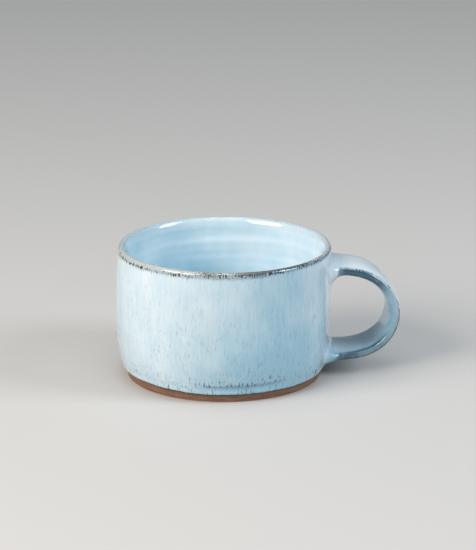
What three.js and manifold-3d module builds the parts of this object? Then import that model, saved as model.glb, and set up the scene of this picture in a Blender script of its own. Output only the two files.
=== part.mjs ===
// Wide stoneware mug: a thrown cup of brown clay, a pulled strap handle joined to it
// with slip, and a pale blue glaze over everything but the foot.
// Millimetres, +Z up, origin at the middle of the foot, handle towards +X.

import * as THREE from 'three';
import { mergeVertices } from 'three/addons/utils/BufferGeometryUtils.js';
import Module from 'manifold-3d';

// Cup, measured over the glaze.
const mugHeight = 66;
const bellyDiameter = 106;
const bellyHeight = 37;

// How far the wall draws in from the belly on each side: at the rim over the glaze, and at
// the heel and the foot in bare clay.
const rimDrawIn = 0.8;
const heelDrawIn = 4.2;
const footDrawIn = 5.3;

// Cup, bare clay.
const bareFootHeight = 3.6;
const heelBend = 3.4;
const rimBend = 2;
const wallThickness = 3.2;
const lipThickness = 2.4;
const lipTaper = 16;
const floorThickness = 5.4;
const floorFillet = 10;

// Glaze coats, and the fitting gap kept between neighbouring pieces.
const outsideGlaze = 0.6;
const insideGlaze = 0.6;
const rimGlaze = 0.35;
const handleGlaze = 0.5;
const lipBand = 2.2;
const fitGap = 0.25;

// Strap handle, measured over the glaze. Its two roots are set by the strap's middle line.
const handleReach = 34.5;
const upperRootDrop = 11.9;
const lowerRootHeight = 10.1;
const handleDroop = 1.4;
const shoulderBend = 0.68;
const slopeBend = 1.1;
const strapWidthTop = 26.5;
const strapWidthBottom = 27;
const strapThickness = 6.4;
const strapSquareness = 2.8;
const rootSquareness = 2.2;
const slipThickness = 0.6;

// Fillets that blend the roots into the wall: how far each spreads over the wall above, below
// and beside its root, and how far out along the strap they run.
const upperFillet = { above: 1.8, below: 8, beside: 4 };
const lowerFillet = { above: 3.5, below: 3, beside: 4.5 };
const rootBlend = 7;

// Facets.
const roundSteps = 48;
const wallSteps = 9;
const lipSteps = 6;
const filletSteps = 4;
const strapSteps = 28;
const sectionSteps = 20;

// Sizes worked out from those above.
const rimDiameter = bellyDiameter - 2 * rimDrawIn;
const heelDiameter = bellyDiameter - 2 * heelDrawIn;
const footDiameter = bellyDiameter - 2 * footDrawIn;
const clayBellyRadius = bellyDiameter / 2 - outsideGlaze - fitGap;
const clayRimRadius = rimDiameter / 2 - rimGlaze - fitGap;
const lipRound = lipThickness / 2;
const lipHeight = mugHeight - rimGlaze - fitGap - lipRound;
const lipEdge = lipHeight - lipBand;
const upperRootHeight = mugHeight - upperRootDrop;

const wasm = await Module();
wasm.setup();

// Clay radius of the outside wall: widest at the belly, drawn in as a power of the
// distance from it, quickly towards the heel and gently towards the rim.
function wallRadius(z) {
  const low = z < bellyHeight;
  const span = low ? bellyHeight - bareFootHeight : lipHeight - bellyHeight;
  const drawn = clayBellyRadius - (low ? heelDiameter / 2 : clayRimRadius);
  const bend = low ? heelBend : rimBend;
  return clayBellyRadius - drawn * (Math.abs(z - bellyHeight) / span) ** bend;
}

// Clay radius of the inside wall: the wall keeps its thickness and thins towards the lip.
function insideRadius(z) {
  const thin = THREE.MathUtils.smoothstep(z, lipHeight - lipTaper, lipHeight);
  return wallRadius(z) - THREE.MathUtils.lerp(wallThickness, lipThickness, thin);
}

function heights(from, to, steps) {
  return Array.from({ length: steps + 1 }, (_, i) => from + ((to - from) * i) / steps);
}

// The clay outline in three stretches: up the outside, over the lip, down the inside.
const outsideLine = heights(bareFootHeight, lipEdge, wallSteps)
  .map((z) => new THREE.Vector2(wallRadius(z), z));

const lipCentre = (wallRadius(lipHeight) + insideRadius(lipHeight)) / 2;
const lipArc = new THREE.EllipseCurve(lipCentre, lipHeight, lipRound, lipRound, 0, Math.PI);
const lipLine = [
  new THREE.Vector2(wallRadius(lipEdge), lipEdge),
  ...lipArc.getPoints(lipSteps),
  new THREE.Vector2(insideRadius(lipEdge), lipEdge),
];

const cornerHeight = floorThickness + floorFillet;
const cornerRadius = insideRadius(cornerHeight) - floorFillet;
const cornerArc = new THREE.EllipseCurve(
  cornerRadius, cornerHeight, floorFillet, floorFillet, 0, -Math.PI / 2, true);
const insideLine = [
  ...heights(lipEdge, cornerHeight, wallSteps - filletSteps)
    .slice(0, -1)
    .map((z) => new THREE.Vector2(insideRadius(z), z)),
  ...cornerArc.getPoints(filletSteps),
  new THREE.Vector2(0, floorThickness),
];

// Moves a line sideways by a distance, to the right of its travel, with mitred corners.
function offsetLine(line, distance) {
  const sides = line.slice(1).map((point, i) => {
    const along = point.clone().sub(line[i]).normalize();
    return new THREE.Vector2(along.y, -along.x);
  });
  return line.map((point, i) => {
    const before = sides[Math.max(i - 1, 0)];
    const after = sides[Math.min(i, sides.length - 1)];
    const mitre = before.clone().add(after).normalize();
    return point.clone().addScaledVector(mitre, distance / mitre.dot(after));
  });
}

// Draws the last point of a line back by a distance.
function shortenEnd(line, distance) {
  const last = line.at(-1);
  const back = line.at(-2).clone().sub(last).normalize();
  return [...line.slice(0, -1), last.clone().addScaledVector(back, distance)];
}

// Turns a profile of radius and height round the Z axis.
function turned(profile) {
  return new THREE.LatheGeometry(profile, roundSteps).rotateX(Math.PI / 2);
}

// Profile of a coat that lies a fitting gap off a line; it ends on the axis where the line does.
function coatProfile(line, thickness) {
  const under = offsetLine(line, fitGap);
  const over = offsetLine(line, fitGap + thickness);
  const reachesAxis = line.at(-1).x === 0;
  const profile = [...under.reverse(), ...over];
  return reachesAxis ? profile : [...profile, profile[0].clone()];
}

// The cup's outside grown by a distance and filled to the axis, for cutting what meets the wall.
function filledCup(distance) {
  const wall = offsetLine(outsideLine, distance);
  return turned([
    new THREE.Vector2(0, -mugHeight),
    new THREE.Vector2(wall[0].x, -mugHeight),
    ...wall,
    new THREE.Vector2(wall.at(-1).x, 2 * mugHeight),
    new THREE.Vector2(0, 2 * mugHeight),
  ]);
}

// What is left of a fillet at a distance from the wall: whole at the wall, then falling
// as a parabola to nothing where the root's blend ends.
function filletLeft(spread, fromWall) {
  return spread * THREE.MathUtils.clamp(1 - fromWall / rootBlend, 0, 1) ** 2;
}

// A fillet may not pass the lip above the upper root or the bare foot below the lower one.
const clayHalfThickness = strapThickness / 2 - handleGlaze - fitGap;
const coatGrowth = handleGlaze + 2 * fitGap;
const roomAbove = lipEdge - upperRootHeight - clayHalfThickness - coatGrowth;
const roomBelow = lowerRootHeight - bareFootHeight - clayHalfThickness - coatGrowth;
const aboveUpper = Math.max(Math.min(upperFillet.above, roomAbove), fitGap);
const belowLower = Math.max(Math.min(lowerFillet.below, roomBelow), fitGap);

// The strap's middle line at an angle, from a quarter turn up at the upper root to a quarter
// turn down at the lower one: half a superellipse that droops towards its far end.
function middleLine(angle, rootRadius) {
  const middle = (upperRootHeight + lowerRootHeight) / 2;
  const rise = (upperRootHeight - lowerRootHeight) / 2;
  const reach = bellyDiameter / 2 + handleReach - strapThickness / 2 - rootRadius;
  const out = Math.max(Math.cos(angle), 0) ** shoulderBend;
  const up = Math.sign(angle) * Math.abs(Math.sin(angle)) ** slopeBend;
  return new THREE.Vector2(rootRadius + reach * out, middle + rise * up - handleDroop * out);
}

// Half sizes of the strap's section at a distance from the wall, for the upper or the lower half
// of the strap: towards the outside and the inside of the loop, and to either side.
function sectionHalves(turn, fromWall, growth) {
  const isUpper = turn < 0.5;
  const thick = clayHalfThickness + growth;
  const wide = THREE.MathUtils.lerp(strapWidthTop, strapWidthBottom, turn) / 2;
  const outer = isUpper ? aboveUpper : belowLower;
  const inner = isUpper ? upperFillet.below : lowerFillet.above;
  const side = isUpper ? upperFillet.beside : lowerFillet.beside;
  return {
    outer: thick + filletLeft(outer, fromWall),
    inner: thick + filletLeft(inner, fromWall),
    side: wide - handleGlaze - fitGap + growth + filletLeft(side, fromWall),
  };
}

// One ring of the strap, grown by a distance and pushed inward. Turn runs from 0 at the upper
// root to 1 at the lower one. The section is a superellipse, rounder and bent to the wall's
// curve at the roots.
function strapRing(turn, growth, inward) {
  const quarter = Math.PI / 2;
  const angle = quarter - Math.PI * THREE.MathUtils.smoothstep(turn, 0, 1);
  const rootRadius = THREE.MathUtils.lerp(
    wallRadius(upperRootHeight), wallRadius(lowerRootHeight), turn);
  const centre = middleLine(angle, rootRadius);
  const nudge = 1e-3;
  const behind = middleLine(Math.min(angle + nudge, quarter), rootRadius);
  const ahead = middleLine(Math.max(angle - nudge, -quarter), rootRadius);
  const along = ahead.sub(behind).normalize();
  const fromWall = centre.x - rootRadius;
  const halves = sectionHalves(turn, fromWall, growth);
  const atRoot = THREE.MathUtils.clamp(1 - fromWall / rootBlend, 0, 1);
  const squareness = THREE.MathUtils.lerp(strapSquareness, rootSquareness, atRoot);
  const squared = (v) => Math.sign(v) * Math.abs(v) ** (2 / squareness);
  return Array.from({ length: sectionSteps }, (_, i) => {
    const around = (2 * Math.PI * i) / sectionSteps;
    const lift = squared(Math.sin(around));
    const off = lift * (lift > 0 ? halves.outer : halves.inner);
    const across = halves.side * squared(Math.cos(around));
    const wallSag = rootRadius - Math.sqrt(rootRadius ** 2 - across ** 2);
    const x = centre.x - along.y * off - wallSag * atRoot - inward;
    return new THREE.Vector3(x, across, centre.y + along.x * off);
  });
}

// The strap as one closed skin of rings, with both ends run on into the wall.
function strapGeometry(growth) {
  const rootDepth = 2 * wallThickness;
  const rings = [strapRing(0, growth, rootDepth)];
  for (let i = 0; i <= strapSteps; i += 1) {
    rings.push(strapRing(i / strapSteps, growth, 0));
  }
  rings.push(strapRing(1, growth, rootDepth));
  const positions = rings.flat().flatMap((p) => [p.x, p.y, p.z]);
  const triangles = [];
  const lastRing = rings.length - 1;
  const at = (ring, i) => ring * sectionSteps + (i % sectionSteps);
  for (let ring = 0; ring < lastRing; ring += 1) {
    for (let i = 0; i < sectionSteps; i += 1) {
      triangles.push(at(ring, i), at(ring, i + 1), at(ring + 1, i));
      triangles.push(at(ring, i + 1), at(ring + 1, i + 1), at(ring + 1, i));
    }
  }
  for (let i = 1; i < sectionSteps - 1; i += 1) {
    triangles.push(at(0, 0), at(0, i + 1), at(0, i));
    triangles.push(at(lastRing, 0), at(lastRing, i), at(lastRing, i + 1));
  }
  const geometry = new THREE.BufferGeometry();
  geometry.setAttribute('position', new THREE.Float32BufferAttribute(positions, 3));
  geometry.setIndex(triangles);
  return geometry;
}

// A three.js geometry as a solid that can be cut, without its zero-width triangles.
function solidOf(geometry) {
  const bare = geometry.clone();
  bare.deleteAttribute('normal');
  bare.deleteAttribute('uv');
  const sameSpot = 1e-4;
  const merged = mergeVertices(bare, sameSpot);
  const index = merged.index.array;
  const kept = [];
  for (let i = 0; i < index.length; i += 3) {
    const [a, b, c] = index.slice(i, i + 3);
    if (a !== b && b !== c && c !== a) {
      kept.push(a, b, c);
    }
  }
  const vertProperties = new Float32Array(merged.attributes.position.array);
  const triVerts = new Uint32Array(kept);
  return new wasm.Manifold(new wasm.Mesh({ numProp: 3, vertProperties, triVerts }));
}

function geometryOf(solid) {
  const mesh = solid.getMesh();
  const geometry = new THREE.BufferGeometry();
  geometry.setAttribute('position', new THREE.BufferAttribute(mesh.vertProperties, 3));
  geometry.setIndex(new THREE.BufferAttribute(mesh.triVerts, 1));
  geometry.computeVertexNormals();
  return geometry;
}

// The slip of one root: the layer of the strap's root that lies next to the wall.
function slipGeometry(isUpper) {
  const middle = (upperRootHeight + lowerRootHeight) / 2;
  const half = new THREE.BoxGeometry(4 * bellyDiameter, 4 * bellyDiameter, 4 * mugHeight);
  half.translate(0, 0, middle + (isUpper ? 2 : -2) * mugHeight);
  const layer = solidOf(filledCup(fitGap + slipThickness)).subtract(solidOf(filledCup(fitGap)));
  return geometryOf(solidOf(strapGeometry(0)).intersect(layer).intersect(solidOf(half)));
}

// Pieces.
const bodyProfile = [
  new THREE.Vector2(0, 0),
  new THREE.Vector2(footDiameter / 2, 0),
  ...outsideLine.slice(0, -1),
  ...lipLine,
  ...insideLine.slice(1),
];
const thrownBody = turned(bodyProfile);

const strapClay = solidOf(strapGeometry(0))
  .subtract(solidOf(filledCup(2 * fitGap + slipThickness)));

const outsideCoat = solidOf(turned(coatProfile(shortenEnd(outsideLine, fitGap), outsideGlaze)))
  .subtract(solidOf(strapGeometry(2 * fitGap + handleGlaze)));

const insideTop = shortenEnd([insideLine[1], insideLine[0]], fitGap).reverse();
const insideCoat = turned(coatProfile([...insideTop, ...insideLine.slice(2)], insideGlaze));

const rimCoat = turned(coatProfile(lipLine, rimGlaze));

const handleCoat = solidOf(strapGeometry(fitGap + handleGlaze))
  .subtract(solidOf(strapGeometry(fitGap)))
  .subtract(solidOf(filledCup(fitGap)));

// Finishes.
const clay = { color: 0x7d5a44, roughness: 0.85, metalness: 0 };
const driedSlip = { color: 0x866350, roughness: 0.9, metalness: 0 };
const blueGlaze = { color: 0xbfd9e6, roughness: 0.12, metalness: 0 };
const linerGlaze = { color: 0xb4d8e8, roughness: 0.1, metalness: 0 };
const brokenGlaze = { color: 0xa0a5a0, roughness: 0.2, metalness: 0 };

const mug = new THREE.Group();

function add(name, geometry, finish) {
  const mesh = new THREE.Mesh(geometry, new THREE.MeshStandardMaterial(finish));
  mesh.name = name;
  mug.add(mesh);
}

add('thrown_body', thrownBody, clay);
add('strap_handle', geometryOf(strapClay), clay);
add('upper_joint_slip', slipGeometry(true), driedSlip);
add('lower_joint_slip', slipGeometry(false), driedSlip);
add('outside_glaze', geometryOf(outsideCoat), blueGlaze);
add('inside_glaze', insideCoat, linerGlaze);
add('rim_glaze', rimCoat, brokenGlaze);
add('handle_glaze', geometryOf(handleCoat), blueGlaze);

export default mug;
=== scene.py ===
import math

import bpy
import numpy as np
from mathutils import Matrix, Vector


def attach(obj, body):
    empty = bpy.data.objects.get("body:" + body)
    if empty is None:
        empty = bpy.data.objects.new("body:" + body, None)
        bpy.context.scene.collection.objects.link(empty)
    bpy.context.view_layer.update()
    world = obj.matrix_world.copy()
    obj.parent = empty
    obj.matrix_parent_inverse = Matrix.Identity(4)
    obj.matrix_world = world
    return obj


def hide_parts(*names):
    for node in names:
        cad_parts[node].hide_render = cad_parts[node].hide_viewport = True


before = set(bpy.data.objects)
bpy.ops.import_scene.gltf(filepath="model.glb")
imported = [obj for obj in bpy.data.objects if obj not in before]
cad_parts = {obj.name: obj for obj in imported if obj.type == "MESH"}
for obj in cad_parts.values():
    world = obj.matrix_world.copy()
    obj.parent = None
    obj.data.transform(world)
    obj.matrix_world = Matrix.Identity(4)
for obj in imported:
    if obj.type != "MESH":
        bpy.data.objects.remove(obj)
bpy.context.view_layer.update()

mm = 0.001                            # shapes are worked out in mm, meshes are in metres


# sRGB hex, as in a paint program, to the linear colour that a shader takes
def linear(hexColour):
    srgb = np.array([int(hexColour[i:i + 2], 16) for i in (1, 3, 5)]) / 255
    flat = np.where(srgb <= 0.04045, srgb / 12.92, ((srgb + 0.055) / 1.055) ** 2.4)
    return (*flat.tolist(), 1.0)


# an S curve from 0 at the first edge to 1 at the second, which may lie on either side of it
def smooth(first, second, x):
    share = np.clip((x - first) / (second - first), 0, 1)
    return share * share * (3 - 2 * share)


# a straight mix: all of a at share 0, all of b at share 1
def between(a, b, share):
    return a + (b - a) * share


# a soft bump: 1 in its middle, about a third one width away, next to nothing at two
def bell(x, middle, width):
    return np.exp(-((x - middle) / width) ** 2)


# even angles once round, as one row
def onceRound(columns):
    return (np.arange(columns) * 2 * np.pi / columns)[None]


# degrees from a start angle, between -180 and 180
def turnFrom(start, theta):
    return np.degrees(np.arctan2(np.sin(theta - start), np.cos(theta - start)))


# a closed wavy line round the mug: cosines of rising count with drawn phases, the first the largest
def handWaves(theta, counts, seed):
    draw = np.random.default_rng(seed)
    phases = draw.uniform(0, 2 * np.pi, len(counts))[:, None, None]
    strengths = (np.array(counts[0]) / np.array(counts))[:, None, None]
    waves = np.cos(np.array(counts)[:, None, None] * theta[None] + phases) * strengths
    return waves.sum(axis=0) / np.sqrt((strengths ** 2).sum() / 2)


# outward normals of a grid whose columns close round: cross product of its two slopes
def gridNormals(points):
    across = np.roll(points, -1, axis=1) - np.roll(points, 1, axis=1)
    along = np.gradient(points, axis=0)
    normals = np.cross(across, along)
    return normals / np.linalg.norm(normals, axis=2, keepdims=True)


# rings of points in mm become a closed skin: quads join each ring to the next, and then either
# the last ring meets the first, or each end ring closes on a point in its middle
def skinPiece(name, rings, normals, loop, values):
    count, size = rings.shape[:2]
    index = np.arange(count * size).reshape(count, size)
    first = index if loop else index[:-1]
    second = np.roll(index, -1, axis=0) if loop else index[1:]
    corners = [first, np.roll(first, -1, axis=1), np.roll(second, -1, axis=1), second]
    quads = np.stack(corners, axis=-1).reshape(-1, 4)
    fans = np.empty((0, 3), int)
    points = rings.reshape(-1, 3)
    lean = normals.reshape(-1, 3)
    marks = {key: value.reshape(-1) for key, value in values.items()}
    if not loop:
        tips = np.full(size, count * size)
        startFan = np.stack([np.roll(index[0], -1), index[0], tips], axis=-1)
        endFan = np.stack([tips + 1, index[-1], np.roll(index[-1], -1)], axis=-1)
        fans = np.concatenate([startFan, endFan])
        points = np.vstack([points, rings[0].mean(axis=0), rings[-1].mean(axis=0)])
        lean = np.vstack([lean, normals[0].mean(axis=0), normals[-1].mean(axis=0)])
        marks = {key: np.append(mark, [values[key][0].mean(), values[key][-1].mean()])
                 for key, mark in marks.items()}
    a, b, c, d = (points[corner.reshape(-1)] for corner in corners)
    volume = np.einsum("ij,ij->", a, np.cross(b, c)) + np.einsum("ij,ij->", a, np.cross(c, d))
    way = -1 if volume < 0 else 1     # rings that run the other way have their faces turned round
    faces = quads[:, ::way].tolist() + fans[:, ::way].tolist()
    mesh = bpy.data.meshes.new(name)
    mesh.from_pydata((points * mm).tolist(), [], faces)
    mesh.polygons.foreach_set("use_smooth", np.ones(len(mesh.polygons), bool))
    for key, mark in marks.items():
        layer = mesh.attributes.new(key, "FLOAT", "POINT")
        layer.data.foreach_set("value", mark.astype(np.float32))
    mesh.normals_split_custom_set_from_vertices(lean.tolist())
    mesh.update()
    piece = bpy.data.objects.new(name, mesh)
    bpy.context.scene.collection.objects.link(piece)
    print(name, len(points), "points", len(faces), "faces")
    return piece


# Cup: the section of the glazed skin

cup = {                               # mm, over the glaze
    "height": 66.0,
    "bellyRadius": 53.0,
    "bellyHeight": 37.0,
    "heelRadius": 49.6,
    "heelHeight": 3.6,
    "heelBend": 3.4,                  # power of the draw-in under the belly
    "rimRadius": 52.2,
    "rimBend": 2.0,                   # power of the draw-in above it
    "lipRound": 1.8,                  # outside of the lip
    "lipFall": 5.0,                   # its longer inside
    "lipThick": 4.4,
    "wall": 4.9,
    "lipTaper": 16.0,                 # height over which the wall thins to the lip
    "floor": 6.2,
    "floorCorner": 9.2,
    "middleRing": 0.5,                # the last ring, round the middle of the floor
    "rollHeight": 1.0,                # the glaze's rounded lower edge
    "edgeHeight": 3.5,
    "edgeClay": 48.9,
    "lipPart": 62.0,                  # where the lip's own coat starts, inside and out
    "coat": 0.55,                     # thickness of the fired glaze
    "columns": 280,
    "rows": {"roll": 9, "wall": 128, "lip": 14, "inside": 100, "corner": 24, "floor": 44},
}
lipHeight = cup["height"] - cup["lipRound"]
lipCrest = cup["rimRadius"] - cup["lipRound"]


# widest at the belly, drawn in by a power of the distance above or below it
def outsideRadius(z):
    under = (cup["bellyHeight"] - z) / (cup["bellyHeight"] - cup["heelHeight"])
    over = (z - cup["bellyHeight"]) / (lipHeight - cup["bellyHeight"])
    low = (cup["bellyRadius"] - cup["heelRadius"]) * np.clip(under, 0, None) ** cup["heelBend"]
    high = (cup["bellyRadius"] - cup["rimRadius"]) * np.clip(over, 0, None) ** cup["rimBend"]
    return cup["bellyRadius"] - low - high


# the outside less the wall, which thins to the lip's roundness
def insideRadius(z):
    thin = smooth(lipHeight - cup["lipTaper"], lipHeight, z)
    return outsideRadius(z) - between(cup["wall"], cup["lipThick"], thin)


# radius and height from the glaze's edge at the foot, round its roll, up the wall, over the
# two quarter rounds of the lip, down the inside, round the floor's corner and in to the middle
def skinSection():
    rows = cup["rows"]
    quarter = np.pi / 2
    rollTop = cup["edgeHeight"] + cup["rollHeight"]
    rollOut = outsideRadius(rollTop) - cup["edgeClay"]
    roll = np.linspace(0, quarter, rows["roll"])
    up = np.linspace(rollTop, lipHeight, rows["wall"])[1:]
    turn = np.linspace(0, quarter, rows["lip"])[1:]
    fallHeight = cup["height"] - cup["lipFall"]
    fallWidth = lipCrest - insideRadius(fallHeight)
    cornerHeight = cup["floor"] + cup["floorCorner"]
    cornerMiddle = insideRadius(cornerHeight) - cup["floorCorner"]
    down = np.linspace(fallHeight, cornerHeight, rows["inside"])[1:]
    bend = np.linspace(0, quarter, rows["corner"])[1:]
    inward = np.linspace(cornerMiddle, cup["middleRing"], rows["floor"])[1:]
    radius = [cup["edgeClay"] + rollOut * np.sin(roll), outsideRadius(up),
              lipCrest + cup["lipRound"] * np.cos(turn), lipCrest - fallWidth * np.sin(turn),
              insideRadius(down), cornerMiddle + cup["floorCorner"] * np.cos(bend), inward]
    height = [rollTop - cup["rollHeight"] * np.cos(roll), up,
              lipHeight + cup["lipRound"] * np.sin(turn), fallHeight + cup["lipFall"] * np.cos(turn),
              down, cornerHeight - cup["floorCorner"] * np.sin(bend), np.full_like(inward, cup["floor"])]
    return np.concatenate(radius)[:, None], np.concatenate(height)[:, None]


# Handle: the strap's middle line and how its roots run into the wall

strap = {                             # mm, over the glaze
    "reach": 34.5,                    # from the belly to the far side
    "upperRoot": 54.1,
    "lowerRoot": 10.1,
    "droop": 1.4,
    "shoulderBend": 0.68,
    "slopeBend": 1.1,
    "widthTop": 26.5,
    "widthBottom": 27.0,
    "thickness": 6.4,
    "squareness": 2.8,                # power of the section's superellipse
    "rootDepth": 2.6,                 # how far the ends run into the wall
    "rootRows": 7,
    "stations": 168,
    "columns": 96,
    "flareRounds": 8,                 # steps in which the flare settles against the wall
    "edgeSteps": 600,                 # points on the section's edge, to measure from
}
# fillets in mm: over the wall off the outer face, the inner face and the sides, then along the strap
upperFillet = {"outer": 2.5, "inner": 8.5, "beside": 6.0, "along": 9.0, "alongInner": 8.5}
lowerFillet = {"outer": 3.5, "inner": 3.5, "beside": 7.5, "along": 13.0, "alongInner": 5.0}
filletZone = {                        # mm
    "beside": 12.0,                   # how far from the strap the wall can swell
    "off": 16.0,
    "tuck": 0.12,                     # how far the wall's half of a fillet lies under the strap's
    "tuckFrom": (0.3, 1.2),           # swelling over which that comes in
    "lipStop": (0.3, 2.4),            # and no swelling this near the lip's crest
    "edgeStop": (0.0, 1.5),           # or the glaze's lower edge
}
halfWay = math.sqrt(0.5)              # the 45 degree point of a quarter round
meetShare = 1 - halfWay               # where the wall's half of a fillet hands over to the strap's
halfThick = strap["thickness"] / 2
tiny = 1e-6


# a fillet is a quarter ellipse between wall and strap; each side is drawn from its far end to the
# 45 degree point, and past that it goes straight on, under the other side
def filletRise(distance, spread, height):
    share = np.clip(1 - distance / spread, 0, halfWay)
    rise = height * (1 - np.sqrt(1 - share ** 2))
    return rise + height * np.clip(meetShare - distance / spread, 0, 0.5)


# spread over the wall and reach along the strap, for a direction beside the strap or off a face:
# the values beside and off it, mixed by the squares of the direction's two parts
def filletSize(fillet, sideways, outward):
    face = np.where(outward > 0, fillet["outer"], fillet["inner"])
    along = np.where(outward > 0, fillet["along"], fillet["alongInner"])
    spread = fillet["beside"] * sideways ** 2 + face * outward ** 2
    return spread, fillet["along"] * sideways ** 2 + along * outward ** 2


# a superellipse: cosine and sine, each to the power of two over the squareness
def superellipse(around, halfWidth, halfHeight):
    power = 2 / strap["squareness"]
    across = halfWidth * np.sign(np.cos(around)) * np.abs(np.cos(around)) ** power
    off = halfHeight * np.sign(np.sin(around)) * np.abs(np.sin(around)) ** power
    return across, off


# distance to a superellipse, to first order: how far its level is from 1, over its steepness;
# then the two parts of the steepest direction
def sectionDistance(across, off, halfWidth):
    power = strap["squareness"]
    a = np.abs(across / halfWidth)
    b = np.abs(off / halfThick)
    level = np.maximum((a ** power + b ** power) ** (1 / power), tiny)
    slopeA = np.sign(across) * (a / level) ** (power - 1) / halfWidth
    slopeB = np.sign(off) * (b / level) ** (power - 1) / halfThick
    steep = np.maximum(np.hypot(slopeA, slopeB), tiny)
    return (level - 1) / steep, slopeA / steep, slopeB / steep


# the strap's section as points at even steps along it, from a superellipse ten times as fine
def sectionPoints(width):
    around = np.linspace(0, 2 * np.pi, 10 * strap["edgeSteps"] + 1)
    across, off = superellipse(around, width / 2, halfThick)
    travel = np.concatenate([[0.0], np.cumsum(np.hypot(np.diff(across), np.diff(off)))])
    even = np.linspace(0, travel[-1], strap["edgeSteps"] + 1)[:-1]
    return np.interp(even, travel, across), np.interp(even, travel, off)


# how far the wall stands out round one root: a fillet by the distance to the section's nearest point
def rootSwelling(theta, z, rootHeight, width, fillet, outerSign):
    across = outsideRadius(rootHeight) * np.sin(theta) + 0 * z
    off = (z - rootHeight) * outerSign + 0 * theta
    near = (np.abs(across) < width / 2 + filletZone["beside"]) & (np.abs(off) < filletZone["off"])
    near = near & (np.cos(theta) + 0 * z > 0)
    edgeAcross, edgeOff = sectionPoints(width)
    sideways, outward = sectionDistance(edgeAcross, edgeOff, width / 2)[1:]
    apart = np.hypot(across[near][:, None] - edgeAcross, off[near][:, None] - edgeOff)
    nearest = apart.argmin(axis=1)
    within = sectionDistance(across[near], off[near], width / 2)[0] < 0
    distance = apart.min(axis=1) * np.where(within, -1, 1)
    spread, along = filletSize(fillet, sideways[nearest], outward[nearest])
    swell = 0 * across
    swell[near] = filletRise(distance, spread, along)
    return swell


# half a superellipse from the upper root to the lower one, drooping towards its far side
def strapLine(turn):
    angle = np.pi / 2 - np.pi * turn
    root = between(outsideRadius(strap["upperRoot"]), outsideRadius(strap["lowerRoot"]), turn)
    reach = cup["bellyRadius"] + strap["reach"] - halfThick - root
    out = np.clip(np.cos(angle), 0, None) ** strap["shoulderBend"]
    up = np.sign(angle) * np.abs(np.sin(angle)) ** strap["slopeBend"]
    middle = (strap["upperRoot"] + strap["lowerRoot"]) / 2
    rise = (strap["upperRoot"] - strap["lowerRoot"]) / 2
    return root + reach * out, middle + rise * up - strap["droop"] * out


# Cup: the skin with the marks that the hands, the wheel and the kiln left on it, and its painted light and
# shade

made = {                              # mm; a pair is where a mark starts to show and where it is full
    "oval": 0.45,                     # wider across the camera's view than along it
    "lean": -0.45,                    # the wall stands left of the axis up to its shoulder
    "rimLean": 0.2,
    "rimLeanFrom": 50.0,
    "footLean": -0.2,                 # the foot was trimmed a little off the wall's centre
    "lipTilt": 0.45,                  # the lip is higher at the front than at the back
    "lipTiltFrom": 40.0,
    "lipWave": 0.1,                   # rise and fall of the lip
    "edgeWave": 0.09,                 # rise and fall of the glaze's lower edge
    "edgeWaveHeights": (14.0, 4.0),
    "ringSpacing": 10.5,              # finger rings left inside by throwing
    "ringDepth": 0.1,
    "outsideRing": 0.02,
    "ringsOffLip": (3.0, 9.0),        # they start this far from the lip's crest
    "ringsOffMiddle": (5.0, 20.0),    # and stop round the middle of the floor
    "closeRings": 0.35,               # share of a second set between them
    "closeRingRate": 2.3,
    "bead": 0.22,                     # how far the glaze swells just above its lower edge
    "beadAt": 2.3,
    "beadWidth": 0.8,
    "stepHeight": 9.2,                # turned step above the foot, under the glaze
    "stepDepth": 0.55,
    "stepWave": 0.25,
    "stepMiddle": -84.0,              # degrees round from the handle
    "stepSpan": 30.0,                 # to where it has run out, on either side
    "stepTop": (0.0, 0.5),            # below its height
    "stepFoot": (4.2, 0.9),
    "ledge": -0.3,                    # its edge, where the glaze lies thin
    "ledgeWidth": 0.6,
    "runsTop": (-7.0, -0.5),          # dark runs of glaze that stop at the step
    "runsFoot": (1.0, 0.0),
    "pressedIn": 0.6,                 # hollow that the fingers left in the wall between the roots
    "pressedAcross": (24.0, 14.0),
    "pressedTop": (46.0, 28.0),
    "pressedFoot": (12.0, 20.0),
    "sheenAcross": (22.5, 19.5),      # painted sheen: a paler strip of wall there, by its edge as the camera sees it
    "sheenTop": (60.0, 55.0),
    "sheenFoot": (5.0, 11.0),
    "pitTurn": -32.0,                 # degrees round from the handle to an iron pit
    "pitHeight": 7.3,
    "pitWide": 1.1,
    "pitTall": 1.5,
}
coat = {                              # mm from the lip's crest, minus on the outside, down to the liner
    "crust": (-3.6, -2.0),            # the worn lip
    "crustEnd": (0.8, 0.0),
    "underCrust": -3.2,               # thin glaze along its lower edge
    "underCrustWidth": 0.9,
    "drips": -4.4,                    # and dark drips below that
    "dripsWidth": 1.3,
    "innerLine": 0.9,                 # fine dark line along the crest's inner side
    "innerLineWidth": 0.35,
    "innerLip": (0.3, 1.5),           # a little thin below that
    "innerLipEnd": (6.5, 3.0),
    "liner": (-0.3, 1.5),             # where the liner's colour takes over
    "narrowBy": 1.2,                  # the crust is narrower on the right
    "narrowFrom": (18.0, 32.0),       # degrees right of the front
    "narrowTo": (115.0, 85.0),
    "shadeRight": (-35.0, 10.0),       # painted shade: the low wall darker, more so right of the front
    "shadeLow": (48.0, 8.0),           # heights of that painted shade
    "linerShadeLow": (52.0, 37.0),         # heights of the painted shade inside
    "linerMiddle": (4.0, 40.0),       # radii between which the liner's painted light and shade even out
    "ironBelow": (54.0, 30.0),        # heights: more specks below this
    "ironFoot": (17.0, 8.0),          # and many near the foot
    "edgeLine": (2.0, 1.2),           # dark line along the glaze's lower edge, mm from it
    "fillet": (0.0, 2.5),             # mm of swelling at a root where the glaze pools
}
edgeLift = {                          # degrees right of the front: mm that the glaze stops higher
    -90: 1.0, -60: 1.0, -40: 0.7, -26: 0.7, -16: 0.2, 0: 0.0, 40: 0.2, 75: 0.5,
    120: 0.5, 180: 0.2, 250: 0.6,
}
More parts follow.
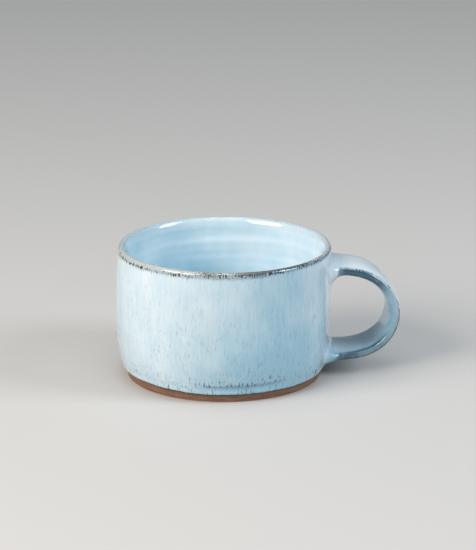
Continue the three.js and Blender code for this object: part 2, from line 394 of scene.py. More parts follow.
wallPaintedLightTable = {                           # degrees right of the front: painted light round the wall, paler on the lit left and at the edge by the handle, deeper just right of the front
    -90: 0.2, -60: 0.24, -30: 0.24, -17: 0.06, 0: 0.04, 11: -0.12, 27: -0.32, 44: -0.3,
    63: 0.12, 90: 0.2, 180: 0.1, 250: 0.2,
}
linerPaintedLightTable = {                         # painted light on the liner, up at the lip: paler on the right, where the lamp from the left falls inside
    -90: 0.3, -145: 0.26, 180: 0.4, 160: 0.5, 137: 0.62, 90: 0.65,
}
linerPaintedShadeTable = {                        # painted shade: how much darker the liner gets towards the floor, most on the left, which the left wall shades
    -90: 0.4, -145: 0.45, 180: 0.35, 160: 0.2, 137: 0.0, 90: 0.0,
}
viewTurn = -5.5                       # degrees: the camera stands off square, a little away from the handle
viewAngle = math.radians(viewTurn)
front = math.radians(viewTurn - 90)


# a value all round the mug: those of a table above joined by lines, averaged over 12 degrees
def allRound(table, theta):
    turn = np.degrees(theta - front)
    at, value = np.array(list(table.items())).T
    near = [np.interp(turn + shift, at, value, period=360) for shift in (-6, -3, 0, 3, 6)]
    return np.mean(near, axis=0)


# an offset to the right as the camera sees it, as x and y
def toTheRight(off):
    return off * math.cos(viewAngle), off * math.sin(viewAngle)


# how far the cup stands off the axis at a height: one lean up to its shoulder, another at the rim
def cupLean(z):
    rim = smooth(made["rimLeanFrom"], cup["height"], z)
    return toTheRight(between(made["lean"], made["rimLean"], rim))


# how far an oval cup stands outside a round one: a cosine twice round
def ovalSwell(theta):
    return made["oval"] * np.cos(2 * (theta - viewAngle))


# the section carried round the axis and moved along its normal by rings, step, hollow and bead; it is
# then oval, leans, swells at the roots, and its lip and lower edge rise and fall. The marks, from 0 to
# about 1, tell the glaze where it lies worn, thin, burnt or pooled, and where light and shade are painted
# into its tone
def cupSkin():
    theta = onceRound(cup["columns"])
    radius, height = skinSection()
    slopeR = np.gradient(radius, axis=0)
    slopeZ = np.gradient(height, axis=0)
    length = np.hypot(slopeR, slopeZ)
    outR, outZ = slopeZ / length, -slopeR / length
    crest = int(np.argmax(height))
    outside = (np.arange(len(radius))[:, None] < crest).astype(float)
    steps = np.hypot(np.diff(radius, axis=0), np.diff(height, axis=0))
    travel = np.concatenate([[[0.0]], np.cumsum(steps, axis=0)])
    fromCrest = travel - travel[crest]

    climb = height / made["ringSpacing"]
    rings = np.sin(2 * np.pi * (climb + theta / (2 * np.pi)))
    closeRings = np.sin(2 * np.pi * (climb * made["closeRingRate"] + theta / np.pi))
    rings = rings + made["closeRings"] * closeRings
    depth = between(made["ringDepth"], made["outsideRing"], outside)
    fade = smooth(*made["ringsOffLip"], np.abs(fromCrest)) * smooth(*made["ringsOffMiddle"], radius)
    relief = rings * depth * fade

    turnFromStep = turnFrom(np.radians(made["stepMiddle"]), theta)
    stepHere = smooth(made["stepSpan"], made["stepSpan"] / 2, np.abs(turnFromStep))
    under = made["stepHeight"] + made["stepWave"] * handWaves(theta, [2, 3, 5], 3) - height
    step = smooth(*made["stepTop"], under) * smooth(*made["stepFoot"], under) * stepHere * outside
    ledge = bell(under, made["ledge"], made["ledgeWidth"]) * stepHere * outside
    runs = smooth(*made["runsTop"], under) * smooth(*made["runsFoot"], under)
    runs = runs * (0.6 + 0.4 * stepHere) * outside
    relief = relief - made["stepDepth"] * step

    fromPit = theta - np.radians(made["pitTurn"])
    pit = bell(outsideRadius(made["pitHeight"]) * np.sin(fromPit), 0, made["pitWide"])
    pit = pit * bell(height, made["pitHeight"], made["pitTall"]) * (np.cos(fromPit) > 0) * outside

    farAway = 60                      # mm, so that what lies between the roots isn't on the other side too
    across = np.abs(outsideRadius(height) * np.sin(theta)) + farAway * (np.cos(theta) < 0)
    # painted sheen: a paler strip on the wall between the roots
    paintedSheen = smooth(*made["sheenAcross"], across)
    paintedSheen = paintedSheen * smooth(*made["sheenFoot"], height) * smooth(*made["sheenTop"], height) * outside
    hollow = smooth(*made["pressedAcross"], across) * smooth(*made["pressedTop"], height)
    hollow = hollow * smooth(*made["pressedFoot"], height) * outside
    relief = relief - made["pressedIn"] * hollow

    upperSwell = rootSwelling(theta, height, strap["upperRoot"], strap["widthTop"], upperFillet, 1)
    lowerSwell = rootSwelling(theta, height, strap["lowerRoot"], strap["widthBottom"], lowerFillet, -1)
    swell = upperSwell + lowerSwell
    swell = (swell - filletZone["tuck"] * smooth(*filletZone["tuckFrom"], swell)) * outside
    swell = swell * smooth(*filletZone["lipStop"], -fromCrest) * smooth(*filletZone["edgeStop"], travel)
    relief = relief + made["bead"] * bell(travel, made["beadAt"], made["beadWidth"])

    r = radius + outR * relief
    r = r + ovalSwell(theta)
    z = height + outZ * relief
    high = smooth(made["lipTiltFrom"], cup["height"], z)
    low = smooth(*made["edgeWaveHeights"], z) * outside
    lip = made["lipTilt"] * np.cos(theta - front)
    lip = lip + made["lipWave"] * handWaves(theta, [2, 3, 5, 9, 14], 7)
    edge = allRound(edgeLift, theta) + made["edgeWave"] * handWaves(theta, [5, 9, 14, 23], 11)
    z = z + high * lip + low * edge
    leanX, leanY = cupLean(z)
    x = r * np.cos(theta) + leanX + swell
    points = np.stack([x, r * np.sin(theta) + leanY, z + 0 * theta], axis=-1)

    right = turnFrom(front, theta)
    narrow = smooth(*coat["narrowFrom"], right) * smooth(*coat["narrowTo"], right)
    fromEdge = fromCrest - coat["narrowBy"] * narrow
    onLip = smooth(*coat["crust"], fromEdge) * smooth(*coat["crustEnd"], fromCrest)
    innerLip = smooth(*coat["innerLip"], fromCrest) * smooth(*coat["innerLipEnd"], fromCrest)
    innerLine = bell(fromCrest, coat["innerLine"], coat["innerLineWidth"])
    underLip = bell(fromEdge, coat["underCrust"], coat["underCrustWidth"])
    drips = bell(fromEdge, coat["drips"], coat["dripsWidth"])
    # painted shade: the low wall darker towards the foot, more so right of the front
    lowPaintedShade = 0.14 + 0.26 * smooth(*coat["shadeRight"], right)
    # painted light round the wall, less the painted shade low down, plus the painted sheen
    wallPaintedLight = allRound(wallPaintedLightTable, theta) - lowPaintedShade * smooth(*coat["shadeLow"], height) + 0.2 * paintedSheen
    # painted shade inside, darker towards the floor on the left, and painted light, paler on the right
    linerPaintedShade = allRound(linerPaintedShadeTable, theta) * smooth(*coat["linerShadeLow"], height)
    insidePaintedLight = allRound(linerPaintedLightTable, theta) - linerPaintedShade
    insidePaintedLight = between(insidePaintedLight[-1].mean(), insidePaintedLight, smooth(*coat["linerMiddle"], radius))
    iron = 0.35 + 0.45 * smooth(*coat["ironBelow"], height) + 1.2 * smooth(*coat["ironFoot"], height)
    pools = 0.1 * smooth(*coat["fillet"], upperSwell) + 0.65 * smooth(*coat["fillet"], lowerSwell)
    marks = {
        "worn": onLip * (1 - 0.1 * narrow),
        "thin": (0.55 + 0.2 * narrow) * underLip + 0.15 * innerLip + 0.4 * innerLine + 0.3 * ledge,
        "burnt": 0.45 * onLip + 0.6 * underLip + 0.35 * drips,
        "drips": drips * outside,
        "edgeLine": smooth(*coat["edgeLine"], travel) + 0.4 * runs + 1.2 * pit,
        "pooledAndShade": pools * outside + 0.6 * step,
        "liner": smooth(*coat["liner"], fromCrest) + 0 * theta,
        "iron": outside * np.maximum(0.85 * iron, 0.9 * drips) + 0.4 * ledge,
        "paintedLight": between(insidePaintedLight, wallPaintedLight, outside),
        "pulled": 0 * theta + 0 * height,
    }
    return points, gridNormals(points), marks, height[:, 0], crest


skin, skinNormals, skinMarks, skinHeights, crestRow = cupSkin()
underSkin = skin - skinNormals * cup["coat"]
rowNumbers = np.arange(len(skin))
belowLip = skinHeights < cup["lipPart"]
lipStart = int(rowNumbers[(rowNumbers < crestRow) & belowLip].max())
lipEnd = int(rowNumbers[(rowNumbers > crestRow) & belowLip].min())


# one coat of the cup: some rows of the skin and, under them, the same rows turned back
def coatPiece(name, start, stop, loop):
    part = slice(start, stop)
    over, under = skin[part], underSkin[part]
    order = 1 if loop else -1         # a coat that is no loop starts and ends in the middle of the floor
    rings = np.concatenate([over[::order], under[::-order]])
    normals = np.concatenate([skinNormals[part][::order], -skinNormals[part][::-order]])
    values = {key: np.concatenate([mark[part][::order], mark[part][::-order]])
              for key, mark in skinMarks.items()}
    return skinPiece(name, rings, normals, loop, values)


outsideCoat = coatPiece("outsideCoat", 0, lipStart + 1, True)
lipCoat = coatPiece("lipCoat", lipStart, lipEnd + 1, True)
insideCoat = coatPiece("insideCoat", lipEnd, None, False)


# Clay body: the bare foot, and the clay under the coats

foot = {                              # mm
    "radius": 47.7,
    "arris": 0.5,                     # its rounded lower edge
    "arrisTurn": 60.0,                # degrees that the edge turns up through
    "hollow": 0.35,                   # how far the underside's middle clears the table
    "hollowRadius": 38.0,
    "ovalFrom": (30.0, 46.0),         # radii between which the underside becomes oval like the wall
    "aboveEdge": 0.4,                 # the bare bevel goes on a little behind the glaze
    "behindEdge": 0.02,
    "rows": {"bottom": 26, "arris": 6, "bevel": 10},
    "firstCoreRow": 12,               # row of the skin above which the clay follows it
}
clayBehind = cup["coat"] + 0.03       # mm from a coat's face to the clay behind it


# rings from the middle of the underside out, round the lower edge, straight up the bevel, and then
# the glazed skin moved in by the coat
def clayPiece():
    theta = onceRound(cup["columns"])
    rows = foot["rows"]
    bottom = np.linspace(cup["middleRing"], foot["radius"] - foot["arris"], rows["bottom"])
    turn = np.linspace(0, np.radians(foot["arrisTurn"]), rows["arris"])[1:]
    bevel = np.linspace(0, 1, rows["bevel"])[1:, None]
    bevelTop = skin[0, :, 2][None] + foot["aboveEdge"]
    arrisR = foot["radius"] - foot["arris"] * (1 - np.sin(turn))
    arrisZ = foot["arris"] * (1 - np.cos(turn))
    hollow = foot["hollow"] * smooth(foot["hollowRadius"], 0, bottom)
    lowR = np.concatenate([bottom, arrisR])[:, None] + 0 * theta
    lowZ = np.concatenate([hollow, arrisZ])[:, None] + 0 * theta
    bevelR = between(arrisR[-1], cup["edgeClay"] - foot["behindEdge"], bevel) + 0 * theta
    bevelZ = between(arrisZ[-1], bevelTop, bevel)
    r = np.concatenate([lowR, bevelR])
    r = r + ovalSwell(theta) * smooth(*foot["ovalFrom"], r)
    z = np.concatenate([lowZ, bevelZ])
    upBevel = np.concatenate([0 * bottom, 0 * arrisR, bevel[:, 0]])[:, None]
    leanX, leanY = toTheRight(between(made["footLean"], made["lean"], upBevel))
    base = np.stack([r * np.cos(theta) + leanX, r * np.sin(theta) + leanY, z], axis=-1)
    core = skin - skinNormals * clayBehind
    rings = np.concatenate([base, core[foot["firstCoreRow"]:]])
    return skinPiece("clayBody", rings, gridNormals(rings), False, {})


clayBody = clayPiece()


# Handle: its coat and its clay

strapCoat = {
    "high": (0.36, 0.12),             # turn: 0 at the upper root, 0.5 on the far side, 1 at the lower root
    "far": (0.32, 0.45),
    "farEnd": (0.7, 0.56),
    "low": (0.62, 0.82),
    "lowerHalf": (0.4, 0.6),
    "innerRidgeFrom": (0.6, 0.8),
    # under: thin glaze and painted shade on the down-facing side of the upper strap
    "under": (82.0, 18.0),            # lean: 90 on the outer face, 0 on a side, -90 on the inner face
    "beside": (80.0, 45.0),
    "paintedLightFace": (20.0, 75.0),
    "crown": (65.0, 85.0),
    "innerFace": (-25.0, -75.0),
    "ridge": {0: 52, 0.12: 54, 0.4: 62, 0.5: 58, 0.62: 50},   # turn, and lean of the outer ridge there
    "ridgeWidth": 24.0,
    "edgeWidth": 18.0,
    "innerRidge": -56.0,
    "innerRidgeWidth": 12.0,
    "clearFrom": 2.0,                 # mm off the wall where the strap's own marks start
    "clearTo": 7.5,                   # and where they are full
    "clearInner": 13.0,               # how much later that is on the low inner face
    "clearCrown": 7.0,                # and in the middle of the outer face
    "fillet": (0.0, 2.0),             # mm of flare at a root where the glaze pools
    "upperPaintedLight": 0.24,                # the wall's painted light at the two roots
    "lowerPaintedLight": 0.02,
}


# a superellipse carried along the strap's line, with a flare at each end that fills the corner to the
# wall; the marks are as for the cup, by the turn along the strap and by the way that its face leans
def strapSkin():
    turn = smooth(0, 1, np.linspace(0, 1, strap["stations"]))
    lineX, lineZ = strapLine(turn)
    inside = np.linspace(strap["rootDepth"], 0, strap["rootRows"])[:-1]
    lineX = np.concatenate([lineX[0] - inside, lineX, lineX[-1] - inside[::-1]])
    lineZ = np.concatenate([0 * inside + lineZ[0], lineZ, 0 * inside + lineZ[-1]])
    turn = np.concatenate([0 * inside, turn, 0 * inside + 1])[:, None]
    alongX, alongZ = np.gradient(lineX), np.gradient(lineZ)
    length = np.hypot(alongX, alongZ)
    alongX, alongZ = (alongX / length)[:, None], (alongZ / length)[:, None]

    halfWidth = between(strap["widthTop"], strap["widthBottom"], turn) / 2
    across, off = superellipse(onceRound(strap["columns"]), halfWidth, halfThick)
    off = off + 0 * turn
    sideways, outward = sectionDistance(across, off, halfWidth)[1:]
    spread, reach = np.where(turn < 0.5, filletSize(upperFillet, sideways, outward),
                             filletSize(lowerFillet, sideways, outward))
    wallHeights = (4, 62)             # mm, where the wall's own curve holds
    flare = 0 * off
    for _ in range(strap["flareRounds"]):   # the flare moves the point, which moves the wall behind it
        flaredAcross = across + flare * sideways
        flaredOff = off + flare * outward
        x = lineX[:, None] - alongZ * flaredOff
        z = lineZ[:, None] + alongX * flaredOff
        wallRadius = outsideRadius(np.clip(z, *wallHeights))
        wallX = np.sqrt(np.maximum(wallRadius ** 2 - flaredAcross ** 2, 1)) + cupLean(z)[0]
        rise = np.maximum(x - wallX, -strap["rootDepth"])
        flare = between(flare, filletRise(rise, reach, spread), 0.5)
    points = np.stack([x, flaredAcross, z], axis=-1)

    lean = np.degrees(np.arctan2(outward, np.abs(sideways)))
    high = smooth(*strapCoat["high"], turn)
    low = smooth(*strapCoat["low"], turn)
    far = smooth(*strapCoat["far"], turn)
    # thin glaze and painted shade on the upper strap's down-facing side
    under = smooth(*strapCoat["under"], lean) * high
    ridgeTurn, ridgeLean = np.array(list(strapCoat["ridge"].items())).T
    ridge = np.interp(turn, ridgeTurn, ridgeLean)
    outerRidge = bell(lean, ridge, strapCoat["ridgeWidth"])
    outerEdge = bell(lean, ridge, strapCoat["edgeWidth"]) * far
    innerRidge = bell(lean, strapCoat["innerRidge"], strapCoat["innerRidgeWidth"])
    innerRidge = innerRidge * smooth(*strapCoat["innerRidgeFrom"], turn)
    inner = smooth(*strapCoat["innerFace"], lean)
    beside = smooth(*strapCoat["beside"], lean)
    crown = smooth(*strapCoat["crown"], lean)
    later = strapCoat["clearInner"] * inner * low + strapCoat["clearCrown"] * crown
    clear = smooth(strapCoat["clearFrom"], strapCoat["clearTo"] + later, rise)
    # painted light and shade: paler towards the outer face, on which light falls from above, deeper on the
    # sides and the inner face; near the roots it takes the wall's painted light
    tone = between(0.9 * smooth(*strapCoat["paintedLightFace"], lean) - 0.25, -0.25, inner)
    rootPaintedLight = between(strapCoat["upperPaintedLight"], strapCoat["lowerPaintedLight"], turn)
    # thin glaze on the sides, and painted shade on the sides and on the lower strap's inner face inside the
    # loop
    sideThinAndShade = beside * (0.28 + 0.08 * far + 0.5 * low)
    innerThinAndShade = 0.04 + 0.38 * low
    faceThinAndShade = between(sideThinAndShade, innerThinAndShade, inner)
    rootPool = between(0.1, 0.65, smooth(*strapCoat["lowerHalf"], turn))
    rootPool = rootPool * smooth(*strapCoat["fillet"], flare)
    # painted shade: deeper blue on the inner face at the far side of the loop
    loopPaintedShade = 0.75 * inner * far * smooth(*strapCoat["farEnd"], turn) * clear
    # the thin and pooled marks here carry painted shade as well as thin and pooled glaze, and the tone mark
    # is painted light and shade
    marks = {
        "worn": 0 * lean,
        "thin": (0.84 * under + 0.95 * innerRidge + 0.3 * outerEdge + faceThinAndShade) * clear,
        "burnt": (0.6 * outerRidge + 0.6 * outerEdge + 0.4 * under) * clear,
        "drips": 0 * lean,
        "edgeLine": 0 * lean,
        "pooledAndShade": np.maximum(rootPool, loopPaintedShade),
        "liner": 0 * lean,
        "iron": 0.35 + 0.2 * outerRidge * clear,
        "paintedLight": between(rootPaintedLight, tone, clear),
        "pulled": 1 + 0 * lean,
    }
    return points, marks


strapPoints, strapMarks = strapSkin()
strapNormals = gridNormals(strapPoints)
strapUnder = strapPoints - strapNormals * cup["coat"]
handleCoat = skinPiece(
    "handleCoat",
    np.concatenate([strapPoints, strapUnder[::-1]]),
    np.concatenate([strapNormals, -strapNormals[::-1]]),
    True,
    {key: np.concatenate([mark, mark[::-1]]) for key, mark in strapMarks.items()},
)
strapCore = strapPoints - strapNormals * clayBehind
strapClay = skinPiece("strapClay", strapCore, strapNormals, False, {})

slipLayer = {                         # mm
    "above": 0.1,                     # over the wall's skin
    "below": 0.5,
    "margin": 1.2,                    # inside the strap's edge
    "middle": 0.06,                   # share of its size at the first ring
    "rings": 9,
}


# a superellipse of slip laid on the wall: from its middle out to the edge on top, and back below
def slipPiece(name, rootHeight, width):
    out = np.linspace(slipLayer["middle"], 1, slipLayer["rings"])
    share = np.concatenate([out, out[::-1]])[:, None]
    layer = np.repeat([slipLayer["above"], -slipLayer["below"]], slipLayer["rings"])[:, None]
    halfWidth = width / 2 - slipLayer["margin"]
    halfHeight = halfThick - slipLayer["margin"]
    across, up = superellipse(onceRound(strap["columns"]), share * halfWidth, share * halfHeight)
    z = rootHeight + up
    x = np.sqrt((outsideRadius(z) + layer) ** 2 - across ** 2) + cupLean(z)[0]
    rings = np.stack([x, across, z], axis=-1)
    return skinPiece(name, rings, gridNormals(rings), False, {})


upperSlip = slipPiece("upperSlip", strap["upperRoot"], strap["widthTop"])
lowerSlip = slipPiece("lowerSlip", strap["lowerRoot"], strap["widthBottom"])


# Materials

# adds a node: settings are its own properties, inputs are values or what links to its sockets
def addNode(tree, kind, settings, inputs):
    node = tree.nodes.new("ShaderNode" + kind)
    for name, value in settings.items():
        setattr(node, name, value)
    for name, value in inputs.items():
        named = [s for s in node.inputs if s.enabled and s.name == name]
        socket = named[0] if named else node.inputs[name]
        if isinstance(value, bpy.types.Node):
            value = next(s for s in value.outputs if s.enabled)
        if isinstance(value, bpy.types.NodeSocket):
            tree.links.new(value, socket)
        else:
            socket.default_value = value
    return node


# an empty material with its Principled shader
def newMaterial(name, inputs):
    material = bpy.data.materials.new(name)
    material.use_nodes = True
    tree = material.node_tree
    tree.nodes.clear()
    shader = addNode(tree, "BsdfPrincipled", {}, inputs)
    addNode(tree, "OutputMaterial", {}, {"Surface": shader})
    return material, tree, shader


# a pattern's cell is one unit wide, so its scale is one over the cell's real size
def perMm(x, y, z):
    return tuple(1 / (size * mm) for size in (x, y, z))


# stoneware glaze over brown clay, dipped and run a little in the fire: sharp glints on its flowed top,
# cloudy pale blue with streaks and painted light and shade below, dark, crusted or speckled where it lies
# thin, and dark where shade is painted on the handle
blueGlaze = {
    "pale": "#dce8ee",
    "deep": "#96c0d3",
    "linerPale": "#dfeef5",
    "linerDeep": "#9ccadb",
    # deeper blue where the glaze pools, also used as painted shade inside the handle's loop
    "poolAndShade": "#82b4cf",
    "thin": "#2c566b",                # the clay darkens it where it lies thin; on the handle it also paints shade
    "speck": "#5f7882",
    "iron": "#262b2c",
    "crustDark": "#525b5a",
    "crustPale": "#b9c0be",
    "roughness": 0.08,
    "crustRoughness": 0.1,
    "clearTop": 0.55,                 # weight of its clear, flowed top over the cloudy blue below
    "topRoughness": 0.04,
    "ior": 1.56,
    "cloudShare": 0.6,                # how much of the tone is clouds, the rest streaks
    "toneSpread": 1.1,
    "toneShift": 0.05,
    "ragged": 1.4,                    # how much the edges of crust and lower line wander
    "crustTone": 0.6,                 # how much paler the crust is where light is painted
    "burntMore": 0.3,                 # how much more black shows where the glaze burnt
    "burntOnly": 4.0,                 # and how sharply none shows elsewhere
    "relief": 0.05,                   # mm
    "speckCell": (1.2, 1.2, 4.2),     # mm, as the patterns below
    "streak": (1.1, 1.1, 9.0),
    "cloud": (10.0, 10.0, 17.0),
    "band": (60.0, 60.0, 7.0),
    "drip": (0.9, 0.9, 3.6),
    "patch": (9.0, 9.0, 9.0),
    "crumb": (0.9, 0.9, 1.9),
    "grain": (0.6, 0.6, 0.6),         # drawn coarser than its real 0.2 mm
}


# tone of the blue from streaks, clouds and painted light and shade, then specks, then what shows where the
# glaze lies
# thin, with painted shade on the handle: dark blue, a broken grey crust over the lip, iron black where it
# burnt through
def glazeMaterial():
    g = blueGlaze
    material, tree, shader = newMaterial("dippedBlueGlaze", {
        "IOR": g["ior"],
        "Coat Weight": g["clearTop"],
        "Coat Roughness": g["topRoughness"],
    })
    place = addNode(tree, "TexCoord", {}, {}).outputs["Object"]
    mark = {key: addNode(tree, "Attribute", {"attribute_name": key}, {}).outputs["Fac"]
            for key in skinMarks}
    noise = {}
    for key in ("streak", "cloud", "band", "drip", "patch", "crumb", "grain"):
        scaled = addNode(tree, "Mapping", {}, {"Vector": place, "Scale": perMm(*g[key])})
        noise[key] = addNode(tree, "TexNoise", {}, {"Vector": scaled, "Scale": 1.0, "Detail": 3.0})
    paint = {"data_type": "RGBA"}
    soft = {"interpolation_type": "SMOOTHSTEP"}
    times = {"operation": "MULTIPLY"}
    timesClamped = {"operation": "MULTIPLY", "use_clamp": True}
    scaleShift = {"operation": "MULTIPLY_ADD"}
    plus = {"operation": "ADD"}

    # blue made paler or deeper by painted light and shade, with streaks and clouds outside, soft level
    # bands in the liner, deeper where it pools and where shade is painted inside the handle's loop
    run = addNode(tree, "Mix", {}, {"Factor": g["cloudShare"], "A": noise["streak"], "B": noise["cloud"]})
    run = addNode(tree, "Math", scaleShift, {0: run, 1: g["toneSpread"], 2: mark["paintedLight"]})
    share = addNode(tree, "Math", {"operation": "SUBTRACT", "use_clamp": True}, {0: run, 1: g["toneShift"]})
    colour = addNode(tree, "Mix", paint, {"Factor": share, "A": linear(g["deep"]), "B": linear(g["pale"])})
    rings = addNode(tree, "Mix", {}, {"Factor": 0.5, "A": noise["cloud"], "B": noise["band"]})
    rings = addNode(tree, "MapRange", {}, {"Value": rings, "From Min": 0.3, "From Max": 0.7, "To Max": 0.6})
    rings = addNode(tree, "Math", {"operation": "ADD", "use_clamp": True}, {0: rings, 1: mark["paintedLight"]})
    inside = addNode(tree, "Mix", paint,
                     {"Factor": rings, "A": linear(g["linerDeep"]), "B": linear(g["linerPale"])})
    colour = addNode(tree, "Mix", paint, {"Factor": mark["liner"], "A": colour, "B": inside})
    colour = addNode(tree, "Mix", paint, {"Factor": mark["pooledAndShade"], "A": colour, "B": linear(g["poolAndShade"])})

    # iron specks: a drop in some cells of a stretched cell pattern, its size drawn for each cell
    cells = addNode(tree, "Mapping", {}, {"Vector": place, "Scale": perMm(*g["speckCell"])})
    drops = addNode(tree, "TexVoronoi", {}, {"Vector": cells, "Scale": 1.0})
    size = addNode(tree, "MapRange", {}, {"Value": drops.outputs["Color"], "From Min": 0.35,
                                          "From Max": 1.0, "To Min": 0.0, "To Max": 0.4})
    inDrop = addNode(tree, "Math", {"operation": "SUBTRACT"}, {0: size, 1: drops.outputs["Distance"]})
    drop = addNode(tree, "MapRange", soft, {"Value": inDrop, "From Min": 0.0, "From Max": 0.28})
    faint = addNode(tree, "MapRange", soft, {"Value": noise["drip"], "From Min": 0.53, "From Max": 0.72,
                                             "To Min": 0.0, "To Max": 0.5})
    drop = addNode(tree, "Math", {"operation": "MAXIMUM"}, {0: drop, 1: faint})
    crowd = addNode(tree, "MapRange", {}, {"Value": noise["patch"], "From Min": 0.38, "From Max": 0.62,
                                           "To Min": 0.35, "To Max": 1.25})
    drop = addNode(tree, "Math", timesClamped, {0: drop, 1: crowd})
    speck = addNode(tree, "Math", times, {0: drop, 1: mark["iron"]})
    dark = addNode(tree, "Mix", paint,
                   {"Factor": mark["drips"], "A": linear(g["speck"]), "B": linear(g["iron"])})
    colour = addNode(tree, "Mix", paint, {"Factor": speck, "A": colour, "B": dark})

    # thin glaze: the clay shows through it, in streaks on the cup and in patches on the pulled strap;
    # on the strap the same dark blue also paints shade under it, on its sides and inside its loop
    blotch = addNode(tree, "Mix", {}, {"Factor": mark["pulled"], "A": noise["drip"], "B": noise["patch"]})
    uneven = addNode(tree, "MapRange", {}, {"Value": blotch, "From Min": 0.3, "From Max": 0.7,
                                            "To Min": 0.6, "To Max": 1.25})
    thin = addNode(tree, "Math", timesClamped, {0: mark["thin"], 1: uneven})
    colour = addNode(tree, "Mix", paint, {"Factor": thin, "A": colour, "B": linear(g["thin"])})

    # crust over the lip: grains of two greys, in paler and darker patches
    ragged = addNode(tree, "Math", scaleShift, {0: noise["drip"], 1: g["ragged"], 2: -g["ragged"] / 2})
    worn = addNode(tree, "Math", plus, {0: mark["worn"], 1: ragged})
    crust = addNode(tree, "MapRange", soft, {"Value": worn, "From Min": 0.5, "From Max": 0.75})
    grey = addNode(tree, "Mix", {}, {"Factor": 0.35, "A": noise["grain"], "B": noise["patch"]})
    grey = addNode(tree, "Math", scaleShift, {0: mark["paintedLight"], 1: g["crustTone"], 2: grey})
    crumb = addNode(tree, "MapRange", soft, {"Value": grey, "From Min": 0.4, "From Max": 0.62})
    crumbs = addNode(tree, "Mix", paint,
                     {"Factor": crumb, "A": linear(g["crustDark"]), "B": linear(g["crustPale"])})
    colour = addNode(tree, "Mix", paint, {"Factor": crust, "A": colour, "B": crumbs})

    # iron burnt through: black drops, more of them in some patches
    hot = addNode(tree, "Mix", {}, {"Factor": 0.3, "A": noise["crumb"], "B": noise["patch"]})
    hot = addNode(tree, "Math", scaleShift, {0: mark["burnt"], 1: g["burntMore"], 2: hot})
    hot = addNode(tree, "MapRange", soft, {"Value": hot, "From Min": 0.73, "From Max": 0.81})
    allowed = addNode(tree, "Math", timesClamped, {0: mark["burnt"], 1: g["burntOnly"]})
    black = addNode(tree, "Math", times, {0: hot, 1: allowed})
    colour = addNode(tree, "Mix", paint, {"Factor": black, "A": colour, "B": linear(g["iron"])})

    # iron along the glaze's lower edge, in its runs and in the pit
    edge = addNode(tree, "Math", plus, {0: mark["edgeLine"], 1: ragged})
    edge = addNode(tree, "MapRange", soft, {"Value": edge, "From Min": 0.4, "From Max": 0.7})
    colour = addNode(tree, "Mix", paint, {"Factor": edge, "A": colour, "B": linear(g["iron"])})
    tree.links.new(colour.outputs["Result"], shader.inputs["Base Color"])

    # a little duller on the crust, with its grain; elsewhere only the streaks stand out a hair
    rough = addNode(tree, "MapRange", {}, {"Value": crust, "To Min": g["roughness"],
                                           "To Max": g["crustRoughness"]})
    tree.links.new(rough.outputs["Result"], shader.inputs["Roughness"])
    relief = addNode(tree, "Mix", {}, {"Factor": crust, "A": noise["streak"], "B": noise["grain"]})
    bump = addNode(tree, "Bump", {}, {"Height": relief, "Strength": 0.2, "Distance": g["relief"] * mm})
    tree.links.new(bump.outputs["Normal"], shader.inputs["Normal"])
    return material


# brown stoneware fired without glaze: matt and gritty, with faint lines from the turning tool
ironClay = {
    "body": "#957159",
    "dark": "#74523c",
    "slip": "#96705b",
    "roughness": 0.82,
    "ior": 1.45,
    "relief": 0.12,                   # mm
    "grit": (0.6, 0.6, 0.4),
    "turning": (7.0, 7.0, 0.9),
}


# two browns mixed by grit and by the lines of the turning tool
def clayMaterial(name, body):
    shine = {"Roughness": ironClay["roughness"], "IOR": ironClay["ior"]}
    material, tree, shader = newMaterial(name, shine)
    place = addNode(tree, "TexCoord", {}, {}).outputs["Object"]
    noise = {}
    for key in ("grit", "turning"):
        scaled = addNode(tree, "Mapping", {}, {"Vector": place, "Scale": perMm(*ironClay[key])})
        noise[key] = addNode(tree, "TexNoise", {}, {"Vector": scaled, "Scale": 1.0, "Detail": 3.0})
    tone = addNode(tree, "Mix", {}, {"Factor": 0.5, "A": noise["grit"], "B": noise["turning"]})
    share = addNode(tree, "MapRange", {}, {"Value": tone, "From Min": 0.36, "From Max": 0.58})
    colour = addNode(tree, "Mix", {"data_type": "RGBA"},
                     {"Factor": share, "A": linear(ironClay["dark"]), "B": linear(body)})
    tree.links.new(colour.outputs["Result"], shader.inputs["Base Color"])
    bump = addNode(tree, "Bump", {}, {"Height": tone, "Strength": 0.5, "Distance": ironClay["relief"] * mm})
    tree.links.new(bump.outputs["Normal"], shader.inputs["Normal"])
    return material


glaze = glazeMaterial()
clay = clayMaterial("bareIronStoneware", ironClay["body"])
slip = clayMaterial("firedJoiningSlip", ironClay["slip"])
for piece in (outsideCoat, lipCoat, insideCoat, handleCoat):
    piece.data.materials.append(glaze)
for piece in (clayBody, strapClay):
    piece.data.materials.append(clay)
for piece in (upperSlip, lowerSlip):
    piece.data.materials.append(slip)
print("materials done")

dressing = [                          # piece, the node that it stands for, its finish in the record
    (clayBody, "thrown_body", "stoneware_clay"),
    (strapClay, "strap_handle", "stoneware_clay"),
    (upperSlip, "upper_joint_slip", "joining_slip"),
    (lowerSlip, "lower_joint_slip", "joining_slip"),
    (outsideCoat, "outside_glaze", "blue_glaze"),
    (lipCoat, "rim_glaze", "rim_glaze"),
    (insideCoat, "inside_glaze", "liner_glaze"),
    (handleCoat, "handle_glaze", "blue_glaze"),
]
for piece, node, slotName in dressing:
    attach(piece, "root")
    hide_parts(node)


# Stage: pale floor, two soft boxes, a diffuser overhead, an even sky and the camera

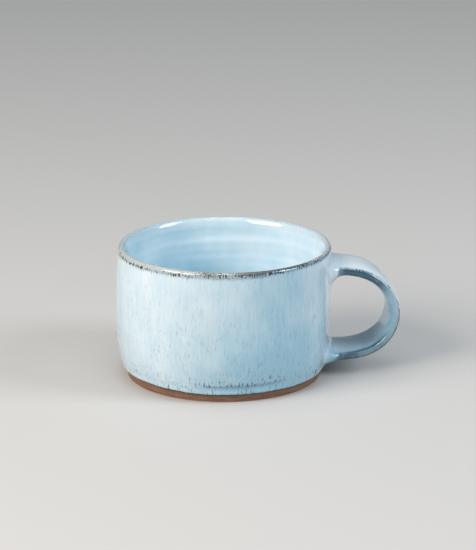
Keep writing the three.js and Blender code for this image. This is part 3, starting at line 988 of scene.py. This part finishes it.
studio = {
    "floor": "#c8c6c3",               # uncoated paper: an even pale grey with no shine
    "floorRoughness": 0.9,
    "floorSize": 6.0,                 # metres
    "sky": "#dfebf4",
    "skyStrength": 0.33,
    "key": {"turn": -52, "rise": 33, "away": 1.3, "width": 0.84, "height": 0.62, "watts": 15.8,
            "tint": "#fff6ee"},
    "fill": {"turn": 75, "rise": 33, "away": 1.3, "width": 0.44, "height": 0.7, "watts": 8.0,
             "tint": "#eef6ff"},
    "overhead": {"turn": 0, "rise": 84, "away": 1.6, "width": 1.4, "height": 1.4, "watts": 7.4,
                 "tint": "#ffffff"},
}
photo = {
    "away": 1.5,                      # metres from the mug's middle
    "rise": 17.25,                    # degrees
    "scale": 2.0125,                  # pixels to a mm at that distance
    "wide": 476,
    "tall": 550,
    "middle": (224.4, 307.4),         # pixel of the point on the axis at half height
    "middleHeight": 33.1,             # mm
    "film": 36.0,                     # mm on the long side
}


# unit vector from the mug towards a place at that turn and rise
def towards(turn, rise):
    a, e = math.radians(turn), math.radians(rise)
    return Vector((math.sin(a) * math.cos(e), -math.cos(a) * math.cos(e), math.sin(e)))


# one square at height 0
def addFloor():
    half = studio["floorSize"] / 2
    corners = [(-half, -half, 0), (half, -half, 0), (half, half, 0), (-half, half, 0)]
    mesh = bpy.data.meshes.new("paleFloor")
    mesh.from_pydata(corners, [], [(0, 1, 2, 3)])
    floor = bpy.data.objects.new("paleFloor", mesh)
    bpy.context.scene.collection.objects.link(floor)
    paper = {"Roughness": studio["floorRoughness"], "Base Color": linear(studio["floor"])}
    mesh.materials.append(newMaterial("mattPaper", paper)[0])


# an area lamp at a turn and rise from the camera's side, facing the mug's middle
def addSoftBox(name, box):
    lamp = bpy.data.lights.new(name, "AREA")
    lamp.shape = "RECTANGLE"
    lamp.size = box["width"]
    lamp.size_y = box["height"]
    lamp.energy = box["watts"]
    lamp.color = linear(box["tint"])[:3]
    away = towards(viewTurn + box["turn"], box["rise"])
    lit = bpy.data.objects.new(name, lamp)
    lit.location = away * box["away"] + Vector((0, 0, photo["middleHeight"] * mm))
    lit.rotation_euler = away.to_track_quat("Z", "Y").to_euler()
    bpy.context.scene.collection.objects.link(lit)


# the lens gives the scale at the mug; the camera is then moved sideways and up, unturned, until the
# mug's middle lies at its pixel
def addCamera():
    lens = bpy.data.cameras.new("photoCamera")
    lens.sensor_width = photo["film"]
    lens.lens = photo["scale"] * photo["away"] / mm * photo["film"] / photo["tall"]
    away = towards(viewTurn, photo["rise"])
    turned = away.to_track_quat("Z", "Y")
    right, up = turned @ Vector((1, 0, 0)), turned @ Vector((0, 1, 0))
    perPixel = mm / photo["scale"]
    aim = Vector((0, 0, photo["middleHeight"] * mm))
    aim += right * (photo["wide"] / 2 - photo["middle"][0]) * perPixel
    aim += up * (photo["middle"][1] - photo["tall"] / 2) * perPixel
    camera = bpy.data.objects.new("photoCamera", lens)
    camera.location = aim + away * photo["away"]
    camera.rotation_euler = turned.to_euler()
    bpy.context.scene.collection.objects.link(camera)
    bpy.context.scene.camera = camera


# one even colour all round
def addSky():
    sky = bpy.data.worlds.new("evenSky")
    sky.use_nodes = True
    back = sky.node_tree.nodes["Background"]
    back.inputs["Color"].default_value = linear(studio["sky"])
    back.inputs["Strength"].default_value = studio["skyStrength"]
    bpy.context.scene.world = sky


addFloor()
addSoftBox("keySoftBox", studio["key"])
addSoftBox("fillSoftBox", studio["fill"])
addSoftBox("overheadDiffuser", studio["overhead"])
addSky()
addCamera()
bpy.context.scene.view_settings.view_transform = "Standard"
print("stage done")

bpy.context.view_layer.update()
